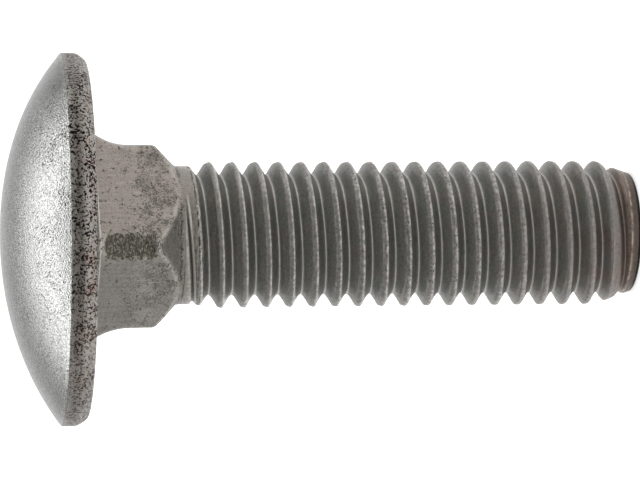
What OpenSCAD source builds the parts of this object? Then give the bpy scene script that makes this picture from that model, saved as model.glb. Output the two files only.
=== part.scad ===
// M8 x 30 carriage bolt: domed head, square neck and a rolled right-hand thread, in one piece.
// Sizes are in millimetres. The bolt is drawn along +Z, from the underside of its head at Z = 0
// to its end, with the neck's flats facing along X and Y. It is then turned over to stand on
// that end, head up, with its axis on the Z axis.

/* [Head] */
// Diameter of the head over its rim
head_diameter = 20.0; // [16:0.1:24]
// Height of the head, from its underside to the top of the dome
head_height = 4.55; // [3:0.05:8]
// Radius of the sphere that the dome is part of
dome_radius = 17.35; // [12:0.05:40]
// Height of the chamfer round the rim's back edge
rim_chamfer_height = 0.5; // [0:0.05:1]
// Depth of that chamfer, measured towards the axis
rim_chamfer_depth = 0.38; // [0:0.02:1]

/* [Square neck] */
// Width across two opposite flats
neck_width = 7.85; // [6:0.05:9]
// Diameter over the corners, which the forging leaves short of a sharp square
neck_corner_diameter = 9.83; // [8:0.01:10.5]
// Distance from the head's underside to where the corners begin to run down to the shank
neck_length = 3.76; // [2.5:0.02:8]
// Radius of the sphere that the corners run down along
run_down_radius = 6.38; // [5.6:0.02:12]
// Distance from the underside over which the corners fill out towards the head
corner_flare_length = 2.35; // [0.5:0.05:2.5]
// Radius of the curve by which they fill out
corner_flare_radius = 3.2; // [2.6:0.1:8]
// Radius of the fillet between the flats and the head
neck_fillet = 0.45; // [0.1:0.05:1]

/* [Shank and thread] */
// Length from the underside of the head to the end
bolt_length = 29.7; // [16:0.1:80]
// Diameter of the plain shank between the neck and the thread, as the blank was before rolling
shank_diameter = 7.44; // [7.2:0.02:7.6]
// Diameter over the thread's crests
thread_diameter = 7.9; // [7.76:0.01:7.97]
// Diameter at the bottom of the thread's groove
root_diameter = 6.45; // [6.2:0.01:6.7]
// Distance from one turn of the thread to the next
pitch = 1.25; // [1:0.05:2]
// Width of the flat at the bottom of the groove
root_width = 0.14; // [0.05:0.01:0.3]
// Angle between the groove's two flanks
flank_angle = 60; // [50:1:70]
// Where the middle of the groove first crosses the +X side at its full depth
first_groove = 6.13; // [5.9:0.01:20]
// Where the shank begins to swell to the thread's diameter
swell_start = 5.2; // [5.1:0.05:20]
// Length over which it swells
swell_length = 1.4; // [0.3:0.05:3]
// Length of the tapered threads at the end
end_taper_length = 1.9; // [0.1:0.1:4]
// Diameter of the flat end
end_diameter = 6.4; // [4:0.1:7.7]

/* [Hidden] */
$fn = 96;

head_r = head_diameter / 2;
crest_r = thread_diameter / 2;
root_r = root_diameter / 2;
shank_r = shank_diameter / 2;
corner_r = neck_corner_diameter / 2;
end_r = end_diameter / 2;
overlap = 0.5;

// The run-down's sphere is centred on the axis and passes through the corners at neck_length.
run_down_centre = neck_length - sqrt(pow(run_down_radius, 2) - pow(corner_r, 2));
neck_end = run_down_centre + sqrt(pow(run_down_radius, 2) - pow(shank_r, 2));

// The groove is cut by a ribbon wound round the blank, which reaches just past the crests. It
// comes down from the shank's surface to its full depth between the two steps named here.
steps_per_turn = 30;
ribbon_r = crest_r + 0.12;
flank_slope = tan(flank_angle / 2);
start_step = round(0.2 * steps_per_turn);
full_step = round(0.86 * steps_per_turn);
last_step = ceil((bolt_length + 1 - first_groove) / pitch + 1) * steps_per_turn;

// A part of the sphere, cut off by the rim and by the underside.
module head() {
    intersection() {
        translate([0, 0, dome_radius - head_height])
            sphere(dome_radius);
        rotate_extrude()
            polygon([
                [0, -head_height - 1],
                [head_r, -head_height - 1],
                [head_r, -rim_chamfer_height],
                [head_r - rim_chamfer_depth, 0],
                [0, 0]
            ]);
    }
}

// Two opposite flats and their fillets: in the outline, X is across the neck and Y is along it.
module flats(turn) {
    half = neck_width / 2;
    rotate([90, 0, turn])
        translate([0, 0, -neck_width])
            linear_extrude(2 * neck_width) {
                translate([-half, -overlap])
                    square([neck_width, neck_end + 2 * overlap]);
                difference() {
                    translate([-half - neck_fillet, -overlap])
                        square([neck_width + 2 * neck_fillet, neck_fillet + overlap]);
                    for (side = [-1, 1])
                        translate([side * (half + neck_fillet), neck_fillet])
                            circle(neck_fillet);
                }
            }
}

// The turned outline of the corners. It ends just inside the shank.
module corners() {
    widest = corner_r + corner_flare_radius;
    length = neck_end + 0.03;
    rotate_extrude()
        difference() {
            translate([0, -overlap])
                square([widest, length + overlap]);
            translate([widest, corner_flare_length])
                circle(corner_flare_radius);
            translate([corner_r, corner_flare_length])
                square([widest, length]);
        }
}

module neck() {
    intersection() {
        flats(0);
        flats(90);
        corners();
        translate([0, 0, run_down_centre])
            sphere(run_down_radius);
    }
}

// The shank as it would be with no groove in it.
module blank() {
    rotate_extrude()
        polygon([
            [0, overlap],
            [shank_r, overlap],
            [shank_r, swell_start],
            [crest_r, swell_start + swell_length],
            [crest_r, bolt_length - end_taper_length],
            [end_r, bolt_length],
            [0, bolt_length]
        ]);
}

function groove_bottom(i) =
    let (left = max(0, full_step - i) / (full_step - start_step))
    root_r + left * (shank_r + 0.03 - root_r);

// One cross-section of the ribbon: the groove's bottom, then its outer side.
function section(i) =
    let (
        angle = 360 * i / steps_per_turn,
        z = first_groove + pitch * (i / steps_per_turn - 1),
        bottom = groove_bottom(i),
        half = root_width / 2,
        wide = half + (ribbon_r - bottom) * flank_slope
    )
    [
        for (p = [[bottom, -half], [bottom, half], [ribbon_r, wide], [ribbon_r, -wide]])
            [p.x * cos(angle), p.x * sin(angle), z + p.y]
    ];

module groove() {
    count = last_step - start_step;
    points = [for (i = [start_step:last_step]) each section(i)];
    sides = [
        for (i = [0:count - 1], k = [0:3])
            let (a = 4 * i + k, b = 4 * i + (k + 1) % 4)
            each [[a, a + 4, b + 4], [a, b + 4, b]]
    ];
    first_end = [0, 1, 2, 3];
    last_end = [4 * count + 3, 4 * count + 2, 4 * count + 1, 4 * count];
    polyhedron(points, concat([first_end], sides, [last_end]));
}

module carriage_bolt() {
    color("silver")
        translate([0, 0, bolt_length])
            rotate([180, 0, 0]) {
                head();
                neck();
                difference() {
                    blank();
                    groove();
                }
            }
}

carriage_bolt();
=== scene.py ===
import math

import bpy
import numpy as np
from mathutils import Matrix, Vector, noise


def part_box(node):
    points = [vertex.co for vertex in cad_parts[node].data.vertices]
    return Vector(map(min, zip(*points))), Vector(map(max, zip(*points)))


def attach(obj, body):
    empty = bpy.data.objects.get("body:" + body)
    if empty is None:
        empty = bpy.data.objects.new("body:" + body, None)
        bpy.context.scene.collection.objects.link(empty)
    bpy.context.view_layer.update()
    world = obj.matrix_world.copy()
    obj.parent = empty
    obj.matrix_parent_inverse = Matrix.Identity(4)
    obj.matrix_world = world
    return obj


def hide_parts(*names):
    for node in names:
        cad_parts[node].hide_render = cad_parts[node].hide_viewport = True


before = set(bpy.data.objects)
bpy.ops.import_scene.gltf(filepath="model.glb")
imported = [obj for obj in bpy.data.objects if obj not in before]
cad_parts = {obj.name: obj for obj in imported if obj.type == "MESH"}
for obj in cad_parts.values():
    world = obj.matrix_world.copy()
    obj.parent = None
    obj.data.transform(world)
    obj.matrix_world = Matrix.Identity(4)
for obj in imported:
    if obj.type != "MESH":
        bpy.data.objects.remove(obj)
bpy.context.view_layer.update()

mm = 0.001


def hexToLinear(code):
    # sRGB hex to the linear colour that the shader sockets take
    parts = [int(code[i:i + 2], 16) / 255 for i in (1, 3, 5)]
    return [c / 12.92 if c <= 0.04045 else ((c + 0.055) / 1.055) ** 2.4 for c in parts] + [1.0]


def direction(degrees):
    # a level unit vector, turned so far from +X towards +Y
    return Vector((math.cos(math.radians(degrees)), math.sin(math.radians(degrees)), 0))


def ramp(value, low, high):
    # 0 at low, 1 at high, and level past them
    return np.clip((value - low) / (high - low), 0, 1)


def ease(value, low, high):
    part = ramp(value, low, high)
    return part * part * (3 - 2 * part)


def softMin(a, b, softness):
    # the smaller of two, rounded where they meet
    h = ramp(b - a, -softness, softness)
    return b + (a - b) * h - softness * h * (1 - h)


def softMax(a, b, softness):
    return -softMin(-a, -b, softness)


def roughnessAt(radius, depth, angle, size, seed):
    # smooth noise from -1 to 1 at each point, with bumps of the given size
    shift = Vector((7.31, 3.17, 5.53)) * seed
    points = np.broadcast_arrays(radius * np.cos(angle), radius * np.sin(angle), depth)
    return np.array([noise.noise(Vector(point) / size + shift) for point in zip(*points)])


class BoltMesh:
    # collects rings of points from the dome's pole to the end face, and joins them
    def __init__(self):
        self.points = []
        self.faces = []
        self.finish = []

    def add(self, radius, depth, angle, centre=(0.0, 0.0)):
        # adds a ring and returns the numbers of its points
        radius, depth, angle = np.broadcast_arrays(radius, depth, angle)
        first = len(self.points)
        x = centre[0] + radius * np.cos(angle)
        y = centre[1] + radius * np.sin(angle)
        self.points.extend(zip(x.tolist(), y.tolist(), (-depth).tolist()))
        return list(range(first, len(self.points)))

    def addFace(self, corners, finish):
        face = tuple(dict.fromkeys(corners))    # a corner given twice is taken once
        if len(face) > 2:
            self.faces.append(face)
            self.finish.append(finish)

    def join(self, upper, lower, finish):
        # either ring may have half the points of the other, or be a single point
        n, m = len(upper), len(lower)
        count = max(n, m)
        for j in range(count):
            self.addFace((upper[j * n // count], lower[j * m // count],
                          lower[(j + 1) * m // count % m], upper[(j + 1) * n // count % n]), finish)


bolt = BoltMesh()
domeFinish, rimFinish, neckFinish, threadFinish = range(4)
fine = np.arange(360) * 2 * math.pi / 360       # the directions of a ring's points
coarse = fine[::2]


# Lengths are in millimetres and depths run from the underside of the head towards the end.

headShape = {
    "height": 4.55,
    "domeRadius": 17.35,
    "fullness": 0.07,            # how far the dome stands out of that sphere, half way out
    "domeRings": 30,             # they lie closer together towards the rim, by ringPower
    "ringPower": 0.9,
    "edgePower": 4,              # how late the dome leaves its sphere for the rim's edge
    "rimRadius": 9.97,
    "rimShift": 0.18,            # the rim sits a little off the bolt's axis
    "rimShiftAngle": -128.8,
    "rimFront": -1.35,           # where the dome ends and the rim starts
    "rimLean": -0.04,            # by how much that edge leans, along rimShiftAngle
    "rimBack": -0.5,             # where the rim's chamfer starts
    "rimRings": (0.35, 0.65),    # parts of the way there
    "chamferDepth": 0.38,
    "frontEdge": 0.10,           # size of the rounding at each edge
    "backEdge": 0.22,
    "seatEdge": (0.12, 0.15),    # the same up the chamfer and in over the underside
    "outOfRound": 0.0012,        # of the rim's radius
    "roundWave": 1.6,            # size of these waves, on a circle of radius waveCircle
    "backWander": 0.05,          # how far the chamfer's edge wanders, and the size of its waves
    "backWave": 0.9,
    "waveCircle": 3,
}

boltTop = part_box("carriage_bolt")[1].z          # m, top of the dome
topZ = boltTop - headShape["height"] * mm       # m, underside of the head


def domeDepth(x, y):
    shape = headShape
    radius = np.hypot(x, y)
    part = ramp(radius, 0, shape["rimRadius"]) ** 2
    sphere = shape["domeRadius"] - shape["height"] - np.sqrt(shape["domeRadius"] ** 2 - radius ** 2)
    return sphere - shape["fullness"] * 4 * part * (1 - part)


def softCorner(before, corner, after, steps):
    # points of a rounded corner, each as (radius, depth)
    for t in np.linspace(0, 1, steps + 1):
        yield [(1 - t) ** 2 * a + 2 * t * (1 - t) * b + t * t * c
               for a, b, c in zip(before, corner, after)]


def buildHead():
    shape = headShape
    rim, edge = shape["rimRadius"], shape["frontEdge"]
    shift = np.array(direction(shape["rimShiftAngle"])[:2]) * shape["rimShift"]

    def frontDepth(angle):
        return shape["rimFront"] + shape["rimLean"] * np.cos(angle - math.radians(shape["rimShiftAngle"]))

    def domeRing(radius, angle, weight):
        # the dome follows its sphere in the middle and meets the rim's front edge
        centre = shift * weight
        across, along = np.cos(angle), np.sin(angle)
        atRim = domeDepth(shift[0] + rim * across, shift[1] + rim * along)
        depth = domeDepth(centre[0] + radius * across, centre[1] + radius * along)
        return bolt.add(radius, depth + weight * (frontDepth(angle) - atRim), angle, centre)

    last = bolt.add(0.0, -shape["height"], np.array([0.0]))
    for step in range(shape["domeRings"]):
        part = (step + 1) / shape["domeRings"]
        radius = (rim - 3 * edge) * part ** shape["ringPower"]
        ring = domeRing(radius, coarse, part ** shape["edgePower"])
        bolt.join(last, ring, domeFinish)
        last = ring

    # the rounded edge, the rim, its chamfer and the flat underside
    circle = shape["waveCircle"]
    rimRing = rim * (1 + shape["outOfRound"] * roughnessAt(circle, 0, fine, shape["roundWave"], 2))
    front = frontDepth(fine)
    tilt = math.asin(rim / shape["domeRadius"])
    outline = list(softCorner((rimRing - edge * math.cos(tilt), front - edge * math.sin(tilt)),
                              (rimRing, front), (rimRing, front + edge), 4))
    back = shape["rimBack"] + shape["backWander"] * roughnessAt(circle, 5, fine, shape["backWave"], 3)
    for part in shape["rimRings"]:
        outline.append((rimRing, front + edge + part * (back - front - edge)))
    backEdge = shape["backEdge"]
    slope = shape["chamferDepth"] / -shape["rimBack"]
    outline += softCorner((rimRing, back - backEdge), (rimRing, back),
                          (rimRing - backEdge * slope, back + backEdge), 4)
    inner = rimRing - shape["chamferDepth"]
    up, inward = shape["seatEdge"]
    outline += softCorner((inner + up * slope, -up), (inner, 0), (inner - inward, 0), 3)
    for i, (radius, depth) in enumerate(outline):
        ring = bolt.add(radius, depth, fine, shift)
        bolt.join(last, ring, domeFinish if i < 2 else rimFinish)
        last = ring
    return last, shift


neckShape = {
    "halfWidth": 3.925,
    "flatTaper": (0.20, 0.15),   # how much nearer the axis the flats end, those along X and along Y
    "taperBand": (2.2, 3.8),
    "cornerRadius": 4.915,
    "flareLength": 2.35,
    "flareRadius": 3.2,
    "fillet": 0.45,
    "runDownStart": 3.68,        # depth at which the cone would leave the corners
    "runDownSlope": 1.09,
    "facetBorder": 0.07,         # over which the run-down's facet begins, and ends at the shank
    "shankBorder": 0.1,
    "flatSoftness": 0.05,
    "edgeSoftness": 0.10,
    "runDownSoftness": 0.16,
    "shankRadius": 3.72,
    "shankSoftness": 0.12,
    "end": 5.0,
    "shift": 0.045,              # the neck is off the axis too, and comes back to it over centring
    "centring": 1.0,
    "roughness": 0.004,
    "roughSize": 0.16,
    "patchAngle": -45.0,         # the corner that the forging left unfilled
    "patchSector": 25,           # degrees to each side of it where the corner is short
    "patchHalfAngle": 7.7,
    "patchFrom": 0.78,
    "patchTo": 3.27,
    "patchStep": 0.12,           # by which the corner has dropped to the patch
    "patchBorder": 0.45,         # width over which the rough patch fades out
    "patchSunk": 0.04,
    "patchRoughness": 0.04,
    "tip": 0.125,                # past the patch that corner fills out again and comes to a point
    "tipSoftness": 0.25,
    "tipBand": (3.17, 3.42),
    "seatRings": (0.25, 0.5, 0.72, 0.88, 0.96, 1.0),        # parts of the way in over the underside
    "filletRings": (0.02, 0.05, 0.1, 0.17, 0.26, 0.36, 0.46, 0.6),
    "flatRings": (0.72, 3.45, 0.11),    # from, to, and the step between rings
    "runDownRings": (3.48, 5.001, 0.0585),
}


def offPatch(angle):
    # degrees from the corner with the patch
    return np.abs((np.degrees(angle) - neckShape["patchAngle"] + 180) % 360 - 180)


def patchMask(depth, angle):
    # 1 inside the rough patch, 0 outside
    shape = neckShape
    ends = np.minimum(depth - shape["patchFrom"], shape["patchTo"] - depth)
    sides = np.radians(shape["patchHalfAngle"] - offPatch(angle)) * shape["cornerRadius"]
    return ramp(np.minimum(sides, ends), -shape["patchBorder"] / 2, shape["patchBorder"] / 2)


def neckRadius(depth, angle):
    # the radius, and 1 where the corners run down to the shank
    shape = neckShape
    short = np.clip(shape["fillet"] - depth, 0, shape["fillet"])
    half = shape["halfWidth"] + shape["fillet"] - np.sqrt(shape["fillet"] ** 2 - short ** 2)
    taper = ease(depth, *shape["taperBand"])
    overX, overY = [(half - loss * taper) / np.maximum(np.abs(wave), 0.05)     # never divided by 0
                    for loss, wave in zip(shape["flatTaper"], (np.cos(angle), np.sin(angle)))]
    left = np.clip(shape["flareLength"] - depth, 0, shape["flareRadius"])
    flare = shape["flareRadius"] - np.sqrt(shape["flareRadius"] ** 2 - left ** 2)
    byPatch = offPatch(angle) < shape["patchSector"]
    abovePatch = ramp(depth, shape["patchFrom"], shape["patchFrom"] - shape["patchStep"])
    flare = np.where(byPatch, flare * abovePatch, flare)
    filled = np.where(byPatch, ramp(depth, *shape["tipBand"]), 0)
    corner = shape["cornerRadius"] + flare + filled * shape["tip"]
    flats = softMin(overX, overY, shape["flatSoftness"])
    radius = softMin(flats, corner, shape["edgeSoftness"] + filled * shape["tipSoftness"])
    cone = shape["cornerRadius"] - shape["runDownSlope"] * (depth - shape["runDownStart"])
    onCone = ramp(radius - cone, 0, shape["facetBorder"])
    onCone = onCone * ramp(cone - shape["shankRadius"], 0, shape["shankBorder"])
    radius = softMin(radius, cone, shape["runDownSoftness"])
    return softMax(radius, shape["shankRadius"], shape["shankSoftness"]), onCone


def buildNeck(last, shift):
    shape = neckShape
    neckShift = shift * shape["shift"] / headShape["rimShift"]
    seatRadius = headShape["rimRadius"] - headShape["chamferDepth"] - headShape["seatEdge"][1]
    foot = neckRadius(0.0, fine)[0]
    for part in shape["seatRings"]:
        radius = seatRadius + (foot - seatRadius) * part
        ring = bolt.add(radius, 0.0, fine, shift * (1 - part) + neckShift * part)
        bolt.join(last, ring, neckFinish)
        last = ring
    for depth in (*shape["filletRings"], *np.arange(*shape["flatRings"]), *np.arange(*shape["runDownRings"])):
        radius = neckRadius(depth, fine)[0]
        rough = roughnessAt(radius, depth, fine, shape["roughSize"], 4)
        sunk = patchMask(depth, fine) * (shape["patchSunk"] + shape["patchRoughness"] * rough)
        centre = neckShift * ramp(depth, shape["end"], shape["end"] - shape["centring"])
        ring = bolt.add(radius - sunk - shape["roughness"] * rough, depth, fine, centre)
        bolt.join(last, ring, neckFinish)
        last = ring
    return last


threadShape = {
    "pitch": 1.25,
    "firstGroove": 6.13,         # depth of the groove on the +X side, where it is fully cut
    "crestRadius": 3.955,
    "crestLoss": 0.05,           # how much thinner the crests are at the end
    "crestSoftness": (0.04, 0.14),      # near the head and at the end
    "crestWear": 6.6,            # depth from which the crests change towards the end
    "crestLean": 0.10,           # near the head their side towards it is lower
    "leanFades": (0.75, 0.25),   # parts of the way to the end
    "leanBand": (0.10, -0.20),   # from the middle of the crest
    "firstDrop": 0.16,           # and lower still over the first turns
    "dropBand": (0.12, -0.38),
    "dropTurns": 1.2,
    "startTurns": (0.0, 0.11, 0.36, 0.60, 0.86),
    "startFill": (1.0, 0.72, 0.58, 0.30, 0.0),      # the groove is shallow over its first turn
    "startLag": (0.15, 0.20, 0.38, 0.20, 0.0),      # and it lies a little late
    "startProud": 0.03,          # it begins so far outside the shank
    "startShadeAndScores": ((0, 0.08), (0.80, 0.50)),         # turns over which the marks of the first groove come and go: its painted shade, scratches and painted highlight
    "swell": (0.08, 0.85),       # turns over which the first crest swells up
    "rootRadius": 3.225,
    "rootHalfWidth": 0.10,
    "rootSoftness": (0.16, 0.04),       # of the full groove, and where it starts
    "flankSlope": math.tan(math.radians(60)),
    "nickDepth": 0.085,
    "nickSize": 0.24,
    "nickFrom": 0.12,            # the noise level above which a crest is nicked, and how far above counts
    "nickLimit": 0.5,
    "crestWander": 0.012,
    "taperStart": 27.8,
    "end": 29.7,
    "endRadius": 3.2,
    "endEdge": ((0.04, 0.09), (-0.03, 0.03), (-0.10, 0), (-0.35, 0)),   # out of it, short of the end
    "endRings": (0.6, 0.25),     # parts of endRadius
    "topRing": 0.06,             # where the thread's rows start past the neck and stop before the end
    "bottomRing": 0.16,
    "ringGap": 0.02,             # a point nearer to one of these two rings than this is on it
    "offsets": (-0.56, -0.50, -0.44, -0.30, -0.14, -0.06, 0.0,
                0.06, 0.14, 0.30, 0.44, 0.50, 0.56, 0.625),     # rows of points from the root
    "crestRows": 0.45,           # the rows past this offset are on the crest
    "crestBorder": 0.09,
}


def helixDepth(angle):
    # where the groove's middle comes to, over the turn that ends at firstGroove
    return threadShape["firstGroove"] - threadShape["pitch"] * angle / (2 * math.pi)


def turnsBegun(groove):
    return (groove - threadShape["firstGroove"]) / threadShape["pitch"] + 1


def startOf(turns):
    # how full and how late the groove still is, some turns after it begins
    shape = threadShape
    return (np.interp(turns, shape["startTurns"], shape["startFill"]),
            np.interp(turns, shape["startTurns"], shape["startLag"]))


def threadRadius(depth, angle):
    # the radius, how far past the nearest groove's middle it is, 1 on the crests, 1 on the first turn
    shape = threadShape
    pitch = shape["pitch"]
    shank = neckShape["shankRadius"]
    centre = helixDepth(angle)
    turn = np.round((depth - centre) / pitch)
    wall = across = nearTurns = 99.0        # further than any groove
    for step in (-1, 0, 1):
        groove = centre + (turn + step) * pitch
        turns = turnsBegun(groove)
        fill, lag = startOf(turns)
        bottom = shape["rootRadius"] + fill * (shank + shape["startProud"] - shape["rootRadius"])
        past = depth - groove - lag
        softness = shape["rootSoftness"][0] * (1 - fill) + shape["rootSoftness"][1] * fill
        rise = softMax(np.abs(past) - shape["rootHalfWidth"] * (1 - fill), 0.0, softness)
        wall = np.minimum(wall, bottom + shape["flankSlope"] * rise)
        nearer = np.abs(past) < np.abs(across)
        across = np.where(nearer, past, across)
        nearTurns = np.where(nearer, turns, nearTurns)
    # each crest swells up once there is a groove on its head side
    ridge = np.floor((depth - centre) / pitch)
    lag = startOf(turnsBegun(centre + ridge * pitch))[1]
    ridge = np.where(depth < centre + ridge * pitch + lag, ridge - 1, ridge)
    turns = turnsBegun(centre + ridge * pitch)
    grown = ease(turns, *shape["swell"])
    along = ramp(depth, shape["crestWear"], shape["end"])
    crest = shape["crestRadius"] - shape["crestLoss"] * along
    blank = shank + (crest - shank) * grown
    blank = blank - ramp(depth, shape["taperStart"], shape["end"]) * (crest - shape["endRadius"])
    side = depth - (centre + (ridge + 0.5) * pitch)
    drop = shape["crestLean"] * ramp(along, *shape["leanFades"]) * ramp(side, *shape["leanBand"])
    drop = drop + shape["firstDrop"] * ramp(turns, shape["dropTurns"], 0) * ramp(side, *shape["dropBand"])
    blank = blank - drop * grown
    softness = shape["crestSoftness"][0] * (1 - along) + shape["crestSoftness"][1] * along
    onCrest = ramp(wall - blank, -shape["crestBorder"], shape["crestBorder"])
    comes, goes = shape["startShadeAndScores"]
    onStart = ramp(nearTurns, *comes) * ramp(nearTurns, *goes)
    return softMin(blank, wall, softness), across, onCrest, onStart


def buildThread(last):
    shape = threadShape
    n, perTurn = len(coarse), len(shape["offsets"])
    first, final = neckShape["end"] + shape["topRing"], shape["end"] - shape["bottomRing"]
    top = bolt.add(threadRadius(first, coarse)[0], first, coarse)
    bolt.join(last, top, neckFinish)
    bottom = bolt.add(threadRadius(final, coarse)[0], final, coarse)
    # the rows of points follow the helix, and what is past the top or bottom ring is on that ring
    rows = []
    for turn in range(-2, int((final - first) / shape["pitch"]) + 4):
        groove = helixDepth(coarse) + shape["pitch"] * turn
        for offset in shape["offsets"]:
            depth = groove + offset + startOf(turnsBegun(groove))[1]
            radius = threadRadius(depth, coarse)[0]
            if abs(offset) > shape["crestRows"]:
                nick = roughnessAt(radius, depth, coarse, shape["nickSize"], 6)
                dent = np.clip(nick - shape["nickFrom"], 0, shape["nickLimit"])
                radius = radius - shape["nickDepth"] * dent + shape["crestWander"] * nick
            row = bolt.add(radius, depth, coarse)
            row = [top[j] if depth[j] < first + shape["ringGap"] else
                   bottom[j] if depth[j] > final - shape["ringGap"] else row[j] for j in range(n)]
            row.append(rows[-perTurn][0] if len(rows) >= perTurn else top[0])
            rows.append(row)
    for upper, lower in zip(rows, rows[1:]):
        for j in range(n):
            bolt.addFace((upper[j], lower[j], lower[j + 1], upper[j + 1]), threadFinish)
    return bottom


def buildEnd(last):
    shape = threadShape
    rings = [(shape["endRadius"] + out, shape["end"] - short) for out, short in shape["endEdge"]]
    rings += [(shape["endRadius"] * part, shape["end"]) for part in shape["endRings"]]
    for radius, depth in rings:
        ring = bolt.add(radius, depth, coarse)
        bolt.join(last, ring, threadFinish)
        last = ring
    bolt.join(last, bolt.add(0.0, shape["end"], np.array([0.0])), threadFinish)


def bendOf(mesh):
    # how sharply the surface bends at each point, per mm: above 0 on edges, below 0 in hollows
    spots = np.empty(len(mesh.vertices) * 3)
    normals = np.empty(len(mesh.vertices) * 3)
    ends = np.empty(len(mesh.edges) * 2, dtype=np.int64)
    mesh.vertices.foreach_get("co", spots)
    mesh.vertices.foreach_get("normal", normals)
    mesh.edges.foreach_get("vertices", ends)
    spots, normals, ends = spots.reshape(-1, 3) / mm, normals.reshape(-1, 3), ends.reshape(-1, 2)
    step = spots[ends[:, 1]] - spots[ends[:, 0]]
    turn = ((normals[ends[:, 1]] - normals[ends[:, 0]]) * step).sum(1)
    turn = turn / np.maximum((step ** 2).sum(1), 1e-6)
    total = np.bincount(ends.ravel(), np.repeat(turn, 2), len(spots))
    return total / np.maximum(np.bincount(ends.ravel(), minlength=len(spots)), 1)


# the edge mask places the painted highlights on convex edges
edgeBend = (0, 3)                # per mm, from flat to what shows fully as an edge
# the hollow mask places the painted shade in hollows
hollowBend = (-0.84, -1.44)      # the same for a hollow


def makeBolt():
    last, shift = buildHead()
    last = buildNeck(last, shift)
    last = buildThread(last)
    buildEnd(last)
    used = sorted({i for face in bolt.faces for i in face})
    index = {old: new for new, old in enumerate(used)}
    points = np.array([bolt.points[i] for i in used]) * mm + np.array([0, 0, topZ])
    mesh = bpy.data.meshes.new("boltSkin")
    mesh.from_pydata(points.tolist(), [], [[index[i] for i in face] for face in bolt.faces])
    mesh.polygons.foreach_set("material_index", bolt.finish)
    mesh.polygons.foreach_set("use_smooth", [True] * len(bolt.faces))
    depths = -points[:, 2] / mm + topZ / mm
    angles = np.arctan2(points[:, 1], points[:, 0]) % (2 * math.pi)
    bend = bendOf(mesh)
    across, onCrest, onStart = threadRadius(depths, angles)[1:]
    masks = {"across": across, "crest": onCrest, "start": onStart,
             "patch": patchMask(depths, angles), "facet": neckRadius(depths, angles)[1],
             "edge": ramp(bend, *edgeBend), "hollowShade": ramp(bend, *hollowBend)}
    for name, values in masks.items():
        attribute = mesh.attributes.new(name, "FLOAT", "POINT")
        attribute.data.foreach_set("value", values.astype(np.float32))
    mesh.update()
    piece = bpy.data.objects.new("boltSkin", mesh)
    bpy.context.scene.collection.objects.link(piece)
    return piece


piece = makeBolt()
triangles = sum(len(face.vertices) - 2 for face in piece.data.polygons)
print("bolt shape:", len(piece.data.vertices), "points,", triangles, "triangles")


def connect(tree, node, inputs):
    # inputs come by name or number, or in order in a tuple (a Mix node's two colours are 6 and 7);
    # a node stands for its first output in use
    pairs = inputs.items() if isinstance(inputs, dict) else enumerate(inputs)
    for name, value in pairs:
        if isinstance(value, bpy.types.Node):
            value = next(socket for socket in value.outputs if socket.enabled)
        if isinstance(value, bpy.types.NodeSocket):
            tree.links.new(value, node.inputs[name])
        else:
            node.inputs[name].default_value = value


def addNode(tree, kind, inputs=(), **settings):
    node = tree.nodes.new(kind)
    for name, value in settings.items():
        setattr(node, name, value)
    connect(tree, node, inputs)
    return node


# Every zone is the same stainless steel, as the step that made it left its surface; some of its
# tones are painted highlight and painted shade. In each look: patterns are noises, as mm round the
# bolt, mm along it, detail, roughness and distortion; zones lie between two depths in mm; and a range
# is what it goes from and to, then what those become where that isn't 0 and 1.
def startSteel(name, look):
    material = bpy.data.materials.new(name)
    material.use_nodes = True
    tree = material.node_tree
    coords = addNode(tree, "ShaderNodeTexCoord")
    place = addNode(tree, "ShaderNodeVectorMath", {0: coords.outputs["Object"], "Scale": 1 / mm},
                    operation="SCALE")
    height = addNode(tree, "ShaderNodeSeparateXYZ", (place,)).outputs["Z"]
    depth = addNode(tree, "ShaderNodeMath", (topZ / mm, height), operation="SUBTRACT")
    skin = {"place": place}
    for pattern, (around, along, detail, roughness, distortion) in look["patterns"].items():
        stretched = addNode(tree, "ShaderNodeMapping", {
            "Vector": place, "Scale": (1 / around, 1 / around, 1 / along)})
        skin[pattern] = addNode(tree, "ShaderNodeTexNoise", {
            "Vector": stretched, "Scale": 1.0, "Detail": detail, "Roughness": roughness,
            "Distortion": distortion})
    for zone, span in look["zones"].items():
        skin[zone] = addNode(tree, "ShaderNodeMapRange", (depth, *span))
    for mask in look["masks"]:
        skin[mask] = addNode(tree, "ShaderNodeAttribute", attribute_name=mask).outputs["Fac"]
    return material, tree, skin


def finishSteel(tree, base, rough, height, depth):
    # a height of 1 stands for the depth given, in mm
    bump = addNode(tree, "ShaderNodeBump", {"Height": height, "Distance": depth * mm})
    connect(tree, tree.nodes["Principled BSDF"], {
        "Base Color": base, "Metallic": 1.0, "Roughness": rough, "Normal": bump})


wearAndShadeAngle = 51.2                 # degrees from +X; specks and pits vary along this direction, and the painted shade on the rim's ends and on one side of the neck lies along it


domeLook = {
    "colour": "#878886",         # stainless steel, bright and neutral after tumbling
    "shade": "#797977",
    # painted highlight along the convex edges
    "edge": "#a5a6a4",
    "speck": "#262523",
    "patterns": {
        "grain": (0.10, 0.10, 1.5, 0.6, 0.0),       # the dents that the tumbling media leave
        "specks": (0.10, 0.10, 1.5, 0.5, 0.0),
        "drift": (2.0, 2.0, 2.0, 0.5, 0.0),         # how large the gatherings of specks are
    },
    "zones": {},
    "masks": ("edge",),
    "bright": (0.35, 0.60),
    "roughness": (0.3, 0.7, 0.30, 0.19),
    "grainDepth": 0.034,
    "speckBand": (5.2, 8.8),     # mm from the axis, where specks grow common
    "speckSide": (-2.0, 8.0, 0.25),     # they gather on the side that the tumbling reached least
    "speckEnds": (2.6, 5.0, 0.6, 0.8),
    "speckDrift": (0.46, 0.62, 0.3, 1.0),
    "speckCrowd": 0.20,
    "speckCut": (0.69, 0.715),
}


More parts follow.
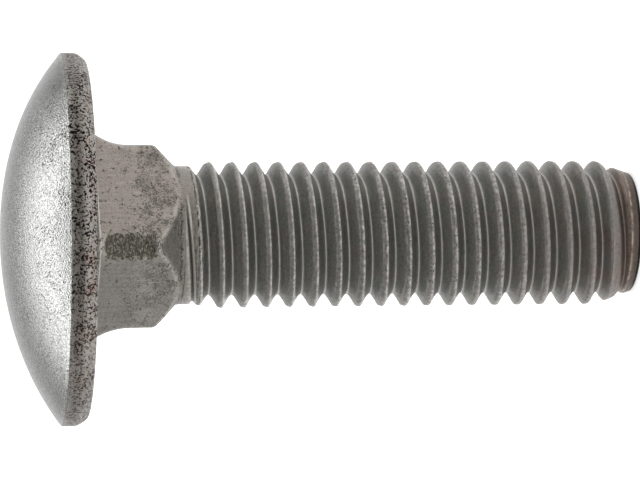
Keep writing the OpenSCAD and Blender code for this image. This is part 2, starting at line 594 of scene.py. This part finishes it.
def makeTumbledDome():
    # Tumbled steel has no direction: a broad soft highlight broken up by fine dents.
    look = domeLook
    material, tree, skin = startSteel("stainless steel, tumbled", look)
    level = addNode(tree, "ShaderNodeVectorMath", (skin["place"], (1, 1, 0)), operation="MULTIPLY")
    radius = addNode(tree, "ShaderNodeVectorMath", (level,), operation="LENGTH")
    sideways = addNode(tree, "ShaderNodeVectorMath", (skin["place"], direction(0)), operation="DOT_PRODUCT")
    across = addNode(tree, "ShaderNodeVectorMath", (skin["place"], direction(wearAndShadeAngle)),
                     operation="DOT_PRODUCT")
    offMiddle = addNode(tree, "ShaderNodeMath", (across,), operation="ABSOLUTE")
    crowd = look["speckCrowd"]
    for value, span in ((radius, "speckBand"), (sideways, "speckSide"), (skin["drift"], "speckDrift"),
                        (offMiddle, "speckEnds")):
        part = addNode(tree, "ShaderNodeMapRange", (value, *look[span]))
        crowd = addNode(tree, "ShaderNodeMath", (crowd, part), operation="MULTIPLY")
    speck = addNode(tree, "ShaderNodeMath", (skin["specks"], crowd), operation="ADD")
    speck = addNode(tree, "ShaderNodeMapRange", (speck, *look["speckCut"]), interpolation_type="SMOOTHSTEP")
    bright = addNode(tree, "ShaderNodeMapRange", (skin["grain"], *look["bright"]))
    base = hexToLinear(look["shade"])
    # the edge tone is a painted highlight
    for mask, tone in ((bright, "colour"), (skin["edge"], "edge"), (speck, "speck")):
        base = addNode(tree, "ShaderNodeMix", {
            0: mask, 6: base, 7: hexToLinear(look[tone])}, data_type="RGBA")
    rough = addNode(tree, "ShaderNodeMapRange", (skin["grain"], *look["roughness"]))
    height = addNode(tree, "ShaderNodeMath", (skin["grain"], speck), operation="SUBTRACT")
    finishSteel(tree, base, rough, height, look["grainDepth"])
    return material


frontEdge = headShape["rimFront"]

rimLook = {
    "colour": "#8a847f",         # steel that swelled out free of the die, dull and a little brown
    "tinge": "#846f69",
    "endShade": "#625e58",        # painted shade on the rim's two ends
    "stripShade": "#5d5854",         # painted shade on one side, by the dome's edge
    # painted highlight along the convex edges
    "edge": "#96928c",
    # near-black: the pits are real, and their colour paints the shade inside them
    "pit": "#12100e",
    "patterns": {
        "worms": (0.21, 0.21, 1.5, 0.6, 0.8),       # the folds that open up as the metal spreads
        "spots": (0.13, 0.13, 1.5, 0.6, 0.0),
        "crowd": (0.9, 0.9, 2.0, 0.5, 0.0),         # clusters of pits
        "stain": (0.9, 0.9, 3.0, 0.5, 0.0),
    },
    "zones": {
        "wholeStrip": (frontEdge + 0.29, frontEdge - 0.01, 0, 0.09),    # fewer pits behind the dome's edge
        "byDome": (frontEdge + 0.90, frontEdge + 0.50),
    },
    "masks": ("edge",),
    "wormLine": (0.048, 0.018, 0, 0.38),    # how far from the noise's middle level a fold reaches
    "crowding": (0.35, 0.65, -0.05, 0.05),
    "pitCut": (0.560, 0.608),
    "pitDepth": 0.07,            # mm
    "spotDepth": 0.6,            # of a pit's
    "roughness": (0, 1, 0.38, 0.6),
    "stained": (0.50, 0.68),
    "shadedEnds": (5.5, 9.5),    # mm from the middle, along the direction of that painted shade
    "quietSide": (-8.0, 1.0, 0.80),         # pits are less dark on the side that spread least
    "stripShadeAngle": -28.6,        # degrees from +X, and how far out that side the painted shade lies
    "stripShadeSide": (5.5, 9.0),
}


def makeUpsetRim():
    # An upset rim is never struck, so its skin tears into short crooked pits.
    look = rimLook
    material, tree, skin = startSteel("stainless steel, upset", look)
    fold = addNode(tree, "ShaderNodeMath", (skin["worms"], 0.5), operation="SUBTRACT")
    fold = addNode(tree, "ShaderNodeMath", (fold,), operation="ABSOLUTE")
    fold = addNode(tree, "ShaderNodeMapRange", (fold, *look["wormLine"]))
    crowd = addNode(tree, "ShaderNodeMapRange", (skin["crowd"], *look["crowding"]))
    spots = addNode(tree, "ShaderNodeMath", (skin["spots"], crowd), operation="ADD")
    pit = addNode(tree, "ShaderNodeMath", (fold, spots, spots), operation="MULTIPLY_ADD")
    # the side of the painted shade by the dome's edge, where the strip also keeps its pits
    facing = addNode(tree, "ShaderNodeVectorMath", (skin["place"], direction(look["stripShadeAngle"])),
                     operation="DOT_PRODUCT")
    facing = addNode(tree, "ShaderNodeMapRange", (facing, *look["stripShadeSide"]))
    away = addNode(tree, "ShaderNodeMath", (1.0, facing), operation="SUBTRACT")
    whole = addNode(tree, "ShaderNodeMath", (skin["wholeStrip"], away), operation="MULTIPLY")
    pit = addNode(tree, "ShaderNodeMath", (pit, whole), operation="SUBTRACT")
    pit = addNode(tree, "ShaderNodeMapRange", (pit, *look["pitCut"]), interpolation_type="SMOOTHSTEP")
    across = addNode(tree, "ShaderNodeVectorMath", (skin["place"], direction(wearAndShadeAngle)),
                     operation="DOT_PRODUCT")
    quiet = addNode(tree, "ShaderNodeMapRange", (across, *look["quietSide"]))
    pit = addNode(tree, "ShaderNodeMath", (pit, quiet), operation="MULTIPLY")
    # painted shade on the rim's two ends
    offMiddle = addNode(tree, "ShaderNodeMath", (across,), operation="ABSOLUTE")
    ends = addNode(tree, "ShaderNodeMapRange", (offMiddle, *look["shadedEnds"]))
    stain = addNode(tree, "ShaderNodeMapRange", (skin["stain"], *look["stained"]))
    stripShade = addNode(tree, "ShaderNodeMath", (facing, skin["byDome"]), operation="MULTIPLY")
    base = hexToLinear(look["colour"])
    # the edge tone is a painted highlight
    for mask, tone in ((stain, "tinge"), (ends, "endShade"), (stripShade, "stripShade"), (skin["edge"], "edge"),
                       (pit, "pit")):
        base = addNode(tree, "ShaderNodeMix", {
            0: mask, 6: base, 7: hexToLinear(look[tone])}, data_type="RGBA")
    rough = addNode(tree, "ShaderNodeMapRange", (pit, *look["roughness"]))
    height = addNode(tree, "ShaderNodeMath", (spots, look["spotDepth"], pit), operation="MULTIPLY_ADD")
    height = addNode(tree, "ShaderNodeMath", (1.0, height), operation="SUBTRACT")
    finishSteel(tree, base, rough, height, look["pitDepth"])
    return material


neckLook = {
    "colour": "#88827d",         # steel pressed smooth by the die's walls, a little warm
    "worn": "#75706b",           # where scale was pressed into it
    "flush": "#8d7a74",          # a trace of reddish oxide
    "shadedSide": "#73716d",       # painted shade, darker on one side of the neck
    "filletShade": "#625e59",     # painted shade in the fillet under the head
    "filletHighlight": "#aeaaa5",    # painted highlight: a light line just below that shade
    "collar": "#75706a",
    "facet": "#666460",          # where the corners run down, free of the die
    "edge": "#9b968f",
    # painted highlight along the convex edges
    "speck": "#57534e",
    # painted shade in the hollows, and the collar's dark rings
    "creaseShadeAndRings": "#2e2c29",
    "patch": "#807c72",          # the corner that never touched the die
    "patchSpeck": "#4f4c44",
    "patterns": {
        "grain": (0.13, 0.13, 2.0, 0.6, 0.0),
        "drag": (0.17, 1.9, 3.0, 0.6, 0.0),         # the lines that the die drew along the bolt
        "specks": (0.085, 0.085, 2.0, 0.65, 0.0),
        "cloud": (1.8, 1.8, 3.0, 0.65, 0.0),        # the worn areas
        "cluster": (0.42, 0.42, 2.0, 0.6, 0.0),     # groups of pits inside them
        "rings": (8.0, 0.10, 1.0, 0.5, 0.0),        # the fine rings on the collar
        "torn": (0.17, 0.08, 2.0, 0.7, 0.0),        # the patch is torn across the bolt
        "ragged": (0.30, 0.30, 2.0, 0.7, 0.0),      # how the patch's border wanders
    },
    "zones": {
        "wornFrom": (1.2, 2.9),
        "wornTo": (5.0, 4.6, 0.25),
        "offHead": (0.03, 0.08, 0, 0.75),
        "belowFillet": (0.38, 0.44),
        "belowLine": (0.44, 0.50),
        "onCollar": (4.80, 5.0),
    },
    "masks": ("edge", "facet", "hollowShade", "patch"),
    "wornCloud": (0.33, 0.56),
    "wornDark": 0.62,
    "grouped": (0.38, 0.62, 0.45, 1.2),
    "speckCrowd": 0.16,
    "speckCut": (0.632, 0.76),
    "flushed": (0.58, 0.42, 0, 0.20),
    "sideShadeSpan": (0.3, -1.5, 0, 0.75),         # mm from the middle, along the direction of this painted shade
    "dragTone": (0.3, 0.7, 0.84, 1.08),
    "dragDepth": 0.3,
    "ringCut": (0.56, 0.66, 0, 0.7),
    "facetGrain": (0.38, 0.60, 1.0, 0.30),
    "creaseShadeGrain": (0.38, 0.54, 0.35),
    "patchRagged": 3.8,
    "patchCut": (2.30, 2.52),
    "tornCut": (0.38, 0.56),
    "roughness": (0.3, 0.7, 0.36, 0.50),
    "grainDepth": 0.022,         # mm
}


def makeForgedNeck():
    # Die-struck flats keep faint drag lines along the bolt and small pits where scale came off.
    look = neckLook
    material, tree, skin = startSteel("stainless steel, die forged", look)
    worn = addNode(tree, "ShaderNodeMapRange", (skin["cloud"], *look["wornCloud"]),
                   interpolation_type="SMOOTHSTEP")
    grouped = addNode(tree, "ShaderNodeMapRange", (skin["cluster"], *look["grouped"]))
    for part in (skin["wornFrom"], skin["wornTo"], grouped):
        worn = addNode(tree, "ShaderNodeMath", (worn, part), operation="MULTIPLY")
    wornTone = addNode(tree, "ShaderNodeMath", (worn, look["wornDark"]), operation="MULTIPLY", use_clamp=True)
    pit = addNode(tree, "ShaderNodeMath", (worn, look["speckCrowd"], skin["specks"]),
                  operation="MULTIPLY_ADD")
    pit = addNode(tree, "ShaderNodeMapRange", (pit, *look["speckCut"]))
    flush = addNode(tree, "ShaderNodeMapRange", (skin["cluster"], *look["flushed"]))
    across = addNode(tree, "ShaderNodeVectorMath", (skin["place"], direction(wearAndShadeAngle)),
                     operation="DOT_PRODUCT")
    # painted shade: one side of the neck darker
    sideShade = addNode(tree, "ShaderNodeMapRange", (across, *look["sideShadeSpan"]))
    base = hexToLinear(look["colour"])
    for mask, tone in ((wornTone, "worn"), (flush, "flush"), (sideShade, "shadedSide")):
        base = addNode(tree, "ShaderNodeMix", {
            0: mask, 6: base, 7: hexToLinear(look[tone])}, data_type="RGBA")
    lines = addNode(tree, "ShaderNodeMapRange", (skin["drag"], *look["dragTone"]))
    base = addNode(tree, "ShaderNodeVectorMath", {0: base, "Scale": lines}, operation="SCALE")

    # painted shade in the fillet under the head, and a painted highlight line just below it
    filletShadeMask = addNode(tree, "ShaderNodeMath", (skin["offHead"], skin["belowFillet"]),
                       operation="SUBTRACT", use_clamp=True)
    filletHighlightLine = addNode(tree, "ShaderNodeMath", (skin["belowFillet"], skin["belowLine"]),
                         operation="SUBTRACT")
    facetGrain = addNode(tree, "ShaderNodeMapRange", (skin["specks"], *look["facetGrain"]))
    facet = addNode(tree, "ShaderNodeMath", (skin["facet"], facetGrain), operation="MULTIPLY")
    rings = addNode(tree, "ShaderNodeMapRange", (skin["rings"], *look["ringCut"]))
    rings = addNode(tree, "ShaderNodeMath", (rings, skin["onCollar"]), operation="MULTIPLY")
    # painted shade in the hollows, joined with the collar's fine rings
    creaseShadeAndRings = addNode(tree, "ShaderNodeMapRange", (skin["specks"], *look["creaseShadeGrain"]))
    creaseShadeAndRings = addNode(tree, "ShaderNodeMath", (creaseShadeAndRings, skin["hollowShade"]), operation="MULTIPLY")
    creaseShadeAndRings = addNode(tree, "ShaderNodeMath", (creaseShadeAndRings, rings), operation="MAXIMUM")
    # the edge tone is a painted highlight
    for mask, tone in ((filletShadeMask, "filletShade"), (filletHighlightLine, "filletHighlight"), (skin["onCollar"], "collar"),
                       (facet, "facet"), (skin["edge"], "edge"), (pit, "speck"), (creaseShadeAndRings, "creaseShadeAndRings")):
        base = addNode(tree, "ShaderNodeMix", {
            0: mask, 6: base, 7: hexToLinear(look[tone])}, data_type="RGBA")

    patch = addNode(tree, "ShaderNodeMath", (skin["ragged"], look["patchRagged"], skin["patch"]),
                    operation="MULTIPLY_ADD")
    patch = addNode(tree, "ShaderNodeMapRange", (patch, *look["patchCut"]), interpolation_type="SMOOTHSTEP")
    torn = addNode(tree, "ShaderNodeMapRange", (skin["torn"], *look["tornCut"]),
                   interpolation_type="SMOOTHSTEP")
    raw = addNode(tree, "ShaderNodeMix", {
        0: torn, 6: hexToLinear(look["patch"]), 7: hexToLinear(look["patchSpeck"])}, data_type="RGBA")
    base = addNode(tree, "ShaderNodeMix", {0: patch, 6: base, 7: raw}, data_type="RGBA")
    rough = addNode(tree, "ShaderNodeMapRange", (skin["grain"], *look["roughness"]))
    torn = addNode(tree, "ShaderNodeMath", (torn, patch, pit), operation="MULTIPLY_ADD")
    height = addNode(tree, "ShaderNodeMath", (skin["drag"], look["dragDepth"], skin["grain"]),
                     operation="MULTIPLY_ADD")
    height = addNode(tree, "ShaderNodeMath", (height, torn), operation="SUBTRACT")
    finishSteel(tree, base, rough, height, look["grainDepth"])
    return material


threadLook = {
    "flank": "#868b84",          # flanks hold a grey film of rolling oil
    "warm": "#8d8783",
    "streak": "#7d7d7b",
    "root": "#908d89",
    "crest": "#767370",
    "heat": "#84706a",           # a brown tinge from cutting to length, near the end
    "tinged": "#63564f",         # the tapered end is browner still
    "endGlint": "#a8988c",            # painted highlight: a bright line where the cut broke out
    "sheared": "#5b514b",        # and the last bevel is rough
    "collar": "#75706a",
    "startShadeAndScores": "#413f3a",      # painted shade in the first, shallow turn of the groove, and scratches beside it
    "fold": "#c2bfb9",           # painted highlight on the fold that the metal pushed up beside it
    # painted highlight along the convex edges, broken up by noise
    "edgeHighlight": "#9d9a94",
    "nick": "#4d4b45",
    # painted shade: a dark outline round the end face's edge
    "cut": "#1d1b19",
    "patterns": {
        "grain": (0.13, 0.13, 2.0, 0.6, 0.0),
        "streaks": (0.9, 0.12, 2.0, 0.6, 0.0),      # burnished along the groove
        "mottle": (0.55, 0.55, 3.0, 0.7, 0.0),
        "nicks": (0.13, 0.13, 2.0, 0.6, 0.5),       # dents in the crest where its two lips met
        "edgeHighlightNoise": (0.22, 0.22, 2.0, 0.6, 0.0),
        "heatCloud": (1.4, 1.4, 3.0, 0.5, 0.0),
        "scores": (1.6, 0.065, 2.0, 0.6, 0.0),      # scratches over the first turn
    },
    "zones": {
        "flatCrest": (7.0, 17.0, 0.25),             # the crests lose their thin lip over this
        "crestMarksFade": (19.0, 26.0, 1.0, 0.35),       # and get smoother: their nicks and painted edge highlight fade
        "heat": (22.0, 29.0),
        "tinged": (28.2, 28.8),
        "glintStart": (29.08, 29.13),
        "sheared": (29.16, 29.26),
        "byCollar": (5.95, 5.55),
        "endRim": (29.48, 29.56),
    },
    "masks": ("across", "crest", "start", "edge"),
    "mottled": (0.40, 0.60),
    "streaked": (0.38, 0.62, 0, 0.8),
    "dust": (0.42, 0.64, 1.08, 0.84),
    "rootWidth": (0.16, 0.05),   # mm from the middle of the groove
    "rootWorn": (0, 1, 0.4),     # less of the root's bright line is left where it is oily
    "nickCut": (0.575, 0.67),
    "edgeHighlightCut": (0.42, 0.60),
    "heated": (0.40, 0.65, 0, 0.5),
    "tingedGrain": (0.35, 0.62, 0.8),
    "shearGrain": (0.35, 0.62, 0.45),
    "shallow": (0.075, 0.035),   # mm from the middle of the first groove, then past it, over which its painted shade fades
    "foldHighlight": (0.07, 0.11),
    "risen": (0.17, 0.22),
    "scored": (0.44, 0.60, 0.30, 0.85),
    "cutRadius": (2.80, 3.00),   # mm from the axis
    "roughness": (0.3, 0.7, 0.34, 0.48),
    "streakDepth": 0.6,
    "nickDepth": -2.0,
    "grainDepth": 0.016,         # mm
}


def makeRolledThread():
    # Rolled flanks are burnished along the helix, and the crests show where the two lips met.
    look = threadLook
    material, tree, skin = startSteel("stainless steel, thread rolled", look)
    crest = addNode(tree, "ShaderNodeMath", (skin["crest"], skin["flatCrest"]), operation="MULTIPLY")
    nicks = addNode(tree, "ShaderNodeMapRange", (skin["nicks"], *look["nickCut"]),
                    interpolation_type="SMOOTHSTEP")
    nicks = addNode(tree, "ShaderNodeMath", (nicks, crest), operation="MULTIPLY")
    nicks = addNode(tree, "ShaderNodeMath", (nicks, skin["crestMarksFade"]), operation="MULTIPLY")
    # painted highlight along the convex edges, broken up by noise
    edgeHighlight = addNode(tree, "ShaderNodeMapRange", (skin["edgeHighlightNoise"], *look["edgeHighlightCut"]),
                   interpolation_type="SMOOTHSTEP")
    edgeHighlight = addNode(tree, "ShaderNodeMath", (edgeHighlight, skin["edge"]), operation="MULTIPLY")
    edgeHighlight = addNode(tree, "ShaderNodeMath", (edgeHighlight, skin["crestMarksFade"]), operation="MULTIPLY")
    mottle = addNode(tree, "ShaderNodeMapRange", (skin["mottle"], *look["mottled"]))
    streak = addNode(tree, "ShaderNodeMapRange", (skin["streaks"], *look["streaked"]))
    base = hexToLinear(look["flank"])
    for mask, tone in ((mottle, "warm"), (streak, "streak")):
        base = addNode(tree, "ShaderNodeMix", {
            0: mask, 6: base, 7: hexToLinear(look[tone])}, data_type="RGBA")
    dust = addNode(tree, "ShaderNodeMapRange", (skin["grain"], *look["dust"]))
    base = addNode(tree, "ShaderNodeVectorMath", {0: base, "Scale": dust}, operation="SCALE")

    fromRoot = addNode(tree, "ShaderNodeMath", (skin["across"],), operation="ABSOLUTE")
    root = addNode(tree, "ShaderNodeMapRange", (fromRoot, *look["rootWidth"]),
                   interpolation_type="SMOOTHSTEP")
    rootWorn = addNode(tree, "ShaderNodeMapRange", (mottle, *look["rootWorn"]))
    root = addNode(tree, "ShaderNodeMath", (root, rootWorn), operation="MULTIPLY")
    # painted highlight: a bright line near the end
    endGlint = addNode(tree, "ShaderNodeMath", (skin["glintStart"], skin["sheared"]), operation="SUBTRACT")
    endGlint = addNode(tree, "ShaderNodeMath", (endGlint, mottle), operation="MULTIPLY")
    broken = {}
    for zone, pattern, span in (("heat", "heatCloud", "heated"), ("tinged", "streaks", "tingedGrain"),
                                ("sheared", "grain", "shearGrain")):
        part = addNode(tree, "ShaderNodeMapRange", (skin[pattern], *look[span]))
        broken[zone] = addNode(tree, "ShaderNodeMath", (skin[zone], part), operation="MULTIPLY")
    collar = addNode(tree, "ShaderNodeMath", (skin["byCollar"], skin["crest"]), operation="MULTIPLY")

    # painted shade in the first, shallow groove, with scratches beside it
    shallow = addNode(tree, "ShaderNodeMapRange", (fromRoot, *look["shallow"]))
    risen = addNode(tree, "ShaderNodeMapRange", (skin["across"], *look["risen"]))
    scored = addNode(tree, "ShaderNodeMapRange", (skin["scores"], *look["scored"]))
    scored = addNode(tree, "ShaderNodeMath", (scored, risen), operation="MULTIPLY")
    startShadeAndScores = addNode(tree, "ShaderNodeMath", (shallow, scored), operation="MAXIMUM")
    startShadeAndScores = addNode(tree, "ShaderNodeMath", (startShadeAndScores, skin["start"]), operation="MULTIPLY")
    # painted highlight on the fold beside the first groove
    foldHighlight = addNode(tree, "ShaderNodeMapRange", (skin["across"], *look["foldHighlight"]))
    foldHighlight = addNode(tree, "ShaderNodeMath", (foldHighlight, risen), operation="SUBTRACT", use_clamp=True)
    foldHighlight = addNode(tree, "ShaderNodeMath", (foldHighlight, skin["start"]), operation="MULTIPLY")

    # painted shade: a dark outline round the end face's edge
    level = addNode(tree, "ShaderNodeVectorMath", (skin["place"], (1, 1, 0)), operation="MULTIPLY")
    radius = addNode(tree, "ShaderNodeVectorMath", (level,), operation="LENGTH")
    cut = addNode(tree, "ShaderNodeMapRange", (radius, *look["cutRadius"]))
    cut = addNode(tree, "ShaderNodeMath", (cut, skin["endRim"]), operation="MULTIPLY")
    for mask, tone in ((root, "root"), (crest, "crest"), (broken["heat"], "heat"),
                       (broken["tinged"], "tinged"), (endGlint, "endGlint"), (broken["sheared"], "sheared"),
                       (collar, "collar"), (startShadeAndScores, "startShadeAndScores"), (foldHighlight, "fold"), (edgeHighlight, "edgeHighlight"),
                       (nicks, "nick"), (cut, "cut")):
        base = addNode(tree, "ShaderNodeMix", {
            0: mask, 6: base, 7: hexToLinear(look[tone])}, data_type="RGBA")
    rough = addNode(tree, "ShaderNodeMapRange", (skin["grain"], *look["roughness"]))
    height = addNode(tree, "ShaderNodeMath", (skin["streaks"], look["streakDepth"], skin["grain"]),
                     operation="MULTIPLY_ADD")
    height = addNode(tree, "ShaderNodeMath", (nicks, look["nickDepth"], height), operation="MULTIPLY_ADD")
    finishSteel(tree, base, rough, height, look["grainDepth"])
    return material


for material in (makeTumbledDome(), makeUpsetRim(), makeForgedNeck(), makeRolledThread()):
    piece.data.materials.append(material)

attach(piece, "root")
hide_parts("carriage_bolt")
print("materials made")


view = {
    "azimuth": 51.2,
    "elevation": 7.9,
    "roll": 0.42,
    "aimDepth": 12.67,           # mm from the underside to the point the camera looks at
    "aimDrop": 0.31,             # mm from the bolt's axis to that point
    "distance": 185.0,           # mm
    "lens": 192.7,
}

sweep = {
    "front": -4.0,               # m, where the paper starts, on the camera's side of the bolt
    "back": 1.1,                 # m from the bolt to the upright part of the paper
    "bend": 0.15,                # m, radius of the curve up from the floor
    "bendSteps": 12,
    "rise": 0.45,
    "halfWidth": 2.5,
    "colour": "#f4f4f4",
    "glow": 0.6,                 # what the camera sees on top of the light that falls on it
}

side = direction(view["azimuth"])
front = direction(view["azimuth"] - 90)         # level, from the bolt to the camera


def makeSweep():
    # white paper that lies under the bolt and curves up behind it
    shape = sweep
    run = [(shape["front"], 0.0), (0.0, 0.0), (shape["back"] - shape["bend"], 0.0)]
    for step in range(shape["bendSteps"]):
        a = math.pi / 2 * (step + 1) / shape["bendSteps"]
        run.append((shape["back"] - shape["bend"] * (1 - math.sin(a)), shape["bend"] * (1 - math.cos(a))))
    run.append((shape["back"], shape["rise"]))
    points = [Vector((0, 0, height)) - front * away + side * along for away, height in run
              for along in (-shape["halfWidth"], shape["halfWidth"])]
    faces = [(2 * i, 2 * i + 1, 2 * i + 3, 2 * i + 2) for i in range(len(run) - 1)]
    mesh = bpy.data.meshes.new("sweep")
    mesh.from_pydata(points, [], faces)
    mesh.polygons.foreach_set("use_smooth", [True] * len(faces))
    floor = bpy.data.objects.new("sweep", mesh)
    bpy.context.scene.collection.objects.link(floor)
    return floor


def makePaper():
    # Matt paper looks evenly white, and the bolt's soft shadow stays on it.
    paper = bpy.data.materials.new("whitePaper")
    paper.use_nodes = True
    tree = paper.node_tree
    tree.nodes.remove(tree.nodes["Principled BSDF"])
    path = addNode(tree, "ShaderNodeLightPath")
    seen = path.outputs["Is Camera Ray"]
    for ray in ("Is Glossy Ray", "Is Transmission Ray"):
        seen = addNode(tree, "ShaderNodeMath", (seen, path.outputs[ray]), operation="MAXIMUM")
    glow = addNode(tree, "ShaderNodeMath", (seen, sweep["glow"]), operation="MULTIPLY")
    glow = addNode(tree, "ShaderNodeEmission", {"Strength": glow})
    sheet = addNode(tree, "ShaderNodeBsdfDiffuse", {"Color": hexToLinear(sweep["colour"])})
    both = addNode(tree, "ShaderNodeAddShader", (glow, sheet))
    connect(tree, tree.nodes["Material Output"], {"Surface": both})
    return paper


makeSweep().data.materials.append(makePaper())

roomColour = "#b8b8b8"           # the soft light from all round
world = bpy.data.worlds.new("studio")
bpy.context.scene.world = world
world.use_nodes = True
world.node_tree.nodes["Background"].inputs["Color"].default_value = hexToLinear(roomColour)


def lookFrom(place, target):
    back = (place - target).normalized()
    right = Vector((0, 0, 1)).cross(back).normalized()
    spot = Matrix((right, back.cross(right), back)).transposed().to_4x4()
    spot.translation = place
    return spot


# turned from the camera's direction, and raised from level, in degrees; sizes in m, power in W
lightPlan = {
    "head box": {"turn": 185, "height": 62, "size": (0.68, 0.16), "power": 2.8},
    "front fill": {"turn": 0, "height": 62, "size": (0.9, 0.5), "power": 0.6},
    "left panel": {"turn": 90, "height": 12, "size": (0.5, 0.4), "power": 0.82},
    "right panel": {"turn": -90, "height": 12, "size": (0.5, 0.4), "power": 0.06},
}
lampDistance = 0.6
lampAim = Vector((0, 0, 0.02))

for name, plan in lightPlan.items():
    lamp = bpy.data.lights.new(name, "AREA")
    lamp.shape = "RECTANGLE"
    lamp.size, lamp.size_y = plan["size"]
    lamp.energy = plan["power"]
    level = direction(view["azimuth"] - 90 + plan["turn"])
    raised = math.radians(plan["height"])
    place = lampAim + (level * math.cos(raised) + Vector((0, 0, math.sin(raised)))) * lampDistance
    lampObject = bpy.data.objects.new(name, lamp)
    lampObject.matrix_world = lookFrom(place, lampAim)
    bpy.context.scene.collection.objects.link(lampObject)

camera = bpy.data.objects.new("camera", bpy.data.cameras.new("camera"))
bpy.context.scene.collection.objects.link(camera)
camera.data.sensor_width = 36
camera.data.lens = view["lens"]
camera.data.clip_start = 0.005
elevation = math.radians(view["elevation"])
aim = Vector((0, 0, topZ - view["aimDepth"] * mm)) - side * view["aimDrop"] * mm
toCamera = front * math.cos(elevation) + Vector((0, 0, math.sin(elevation)))
spot = lookFrom(aim + toCamera * view["distance"] * mm, aim)
# the camera lies on its side, so that the bolt lies across the picture with its head to the left
camera.matrix_world = spot @ Matrix.Rotation(math.radians(-90 - view["roll"]), 4, "Z")
bpy.context.scene.camera = camera

bpy.context.scene.view_settings.view_transform = "Standard"
print("floor, light and camera set")
